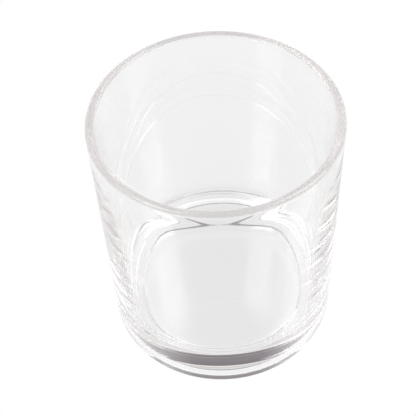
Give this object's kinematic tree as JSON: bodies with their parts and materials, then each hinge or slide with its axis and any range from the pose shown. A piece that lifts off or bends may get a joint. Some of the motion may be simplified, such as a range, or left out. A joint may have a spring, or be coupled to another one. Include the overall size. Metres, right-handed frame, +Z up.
{
  "type": "empty candle jar",
  "caption": "Straight-sided, heavy-based clear glass tumbler with a rounded rim, made to be filled with candle wax.",
  "frame": {"origin": "centre of the standing ring under the base, on the plane that the jar stands on", "axes": "+Z up along the jar's axis of revolution, out of its mouth; +X and +Y lie in the standing plane and are interchangeable"},
  "size_m": [0.08, 0.08, 0.092],
  "materials": {
    "clear_glass": "polished, fire-finished clear soda-lime glass"
  },
  "bodies": {
    "root": {"glass_jar": "clear_glass"}
  },
  "joints": []
}
